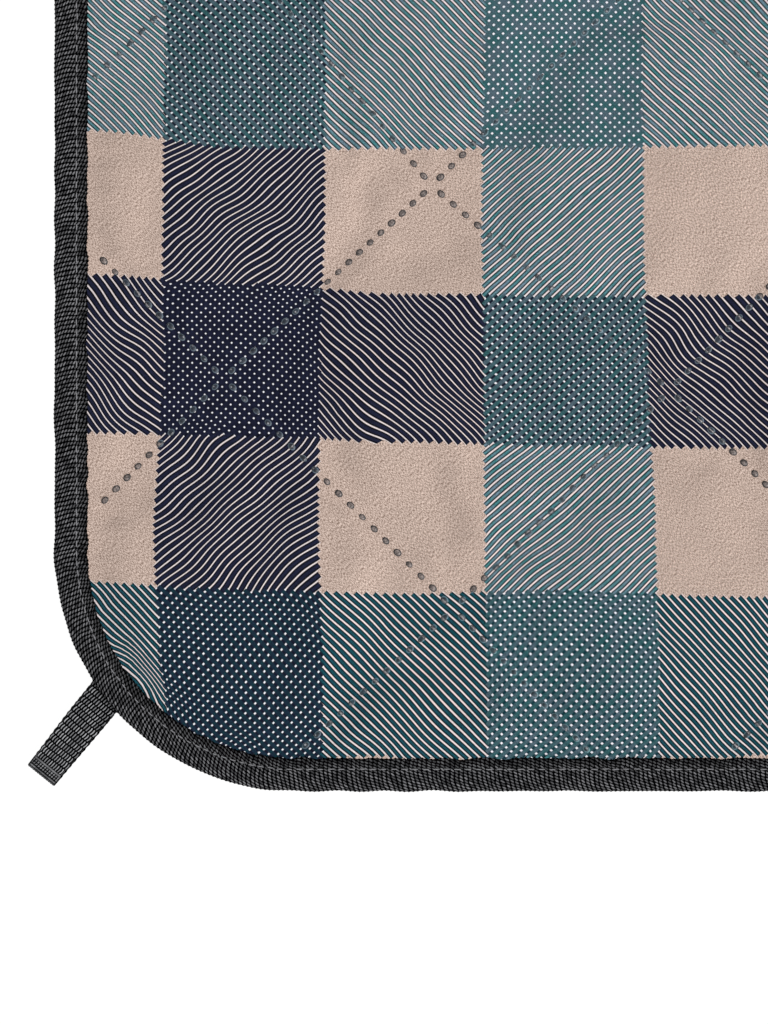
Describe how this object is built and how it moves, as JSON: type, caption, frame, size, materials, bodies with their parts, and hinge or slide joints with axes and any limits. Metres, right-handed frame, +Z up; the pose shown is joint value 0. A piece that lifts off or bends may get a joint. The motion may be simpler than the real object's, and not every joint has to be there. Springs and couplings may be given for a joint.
{
  "type": "camp blanket",
  "caption": "Quilted rectangular camp blanket with a printed face, plain back, bound edges, rounded corners and a webbing loop at each corner; folds in half.",
  "frame": {"origin": "on the ground, under the centre of the blanket", "axes": "+X across the blanket, +Y from the foot end to the head end, +Z up through the printed face"},
  "size_m": [1.2878, 1.78, 0.007],
  "materials": {
    "printed_cover": "fine twill with a printed grid of striped bands in navy and two teals",
    "back_fabric": "plain dark weave, slight sheen",
    "wadding": "white polyester fibre",
    "binding_tape": "charcoal ribbed tape",
    "thread": "dark grey sewing thread",
    "weld": "fused, glossy spot",
    "webbing": "black flat webbing with grey flecks"
  },
  "bodies": {
    "foot_half": {"loop_tail_foot_left": "webbing", "loop_tail_foot_right": "webbing", "top_cover_foot": "printed_cover", "wadding_foot": "wadding", "back_cover_foot": "back_fabric", "edge_binding_foot": "binding_tape", "seam_needle_thread_foot": "thread", "seam_bobbin_thread_foot": "thread", "quilting_welds_foot": "weld"},
    "head_half": {"loop_tail_head_left": "webbing", "loop_tail_head_right": "webbing", "top_cover_head": "printed_cover", "wadding_head": "wadding", "back_cover_head": "back_fabric", "edge_binding_head": "binding_tape", "seam_needle_thread_head": "thread", "seam_bobbin_thread_head": "thread", "quilting_welds_head": "weld"},
    "loop_foot_left": {"corner_loop_foot_left": "webbing"},
    "loop_foot_right": {"corner_loop_foot_right": "webbing"},
    "loop_head_left": {"corner_loop_head_left": "webbing"},
    "loop_head_right": {"corner_loop_head_right": "webbing"}
  },
  "joints": [
    {"name": "fold_in_half", "type": "hinge", "parent": "foot_half", "child": "head_half", "pos_m": [0, 0, 0.0075], "axis": [1, 0, 0], "range_deg": [0, 175]},
    {"name": "loop_foot_left_flip", "type": "hinge", "parent": "foot_half", "child": "loop_foot_left", "pos_m": [-0.61788, -0.85824, 0.0035], "axis": [-0.7793, 0.6266, 0], "range_deg": [0, 150]},
    {"name": "loop_foot_right_flip", "type": "hinge", "parent": "foot_half", "child": "loop_foot_right", "pos_m": [0.61788, -0.85824, 0.0035], "axis": [-0.7793, -0.6266, 0], "range_deg": [0, 150]},
    {"name": "loop_head_left_flip", "type": "hinge", "parent": "head_half", "child": "loop_head_left", "pos_m": [-0.61788, 0.85824, 0.0035], "axis": [0.7793, 0.6266, 0], "range_deg": [0, 150]},
    {"name": "loop_head_right_flip", "type": "hinge", "parent": "head_half", "child": "loop_head_right", "pos_m": [0.61788, 0.85824, 0.0035], "axis": [0.7793, -0.6266, 0], "range_deg": [0, 150]}
  ]
}
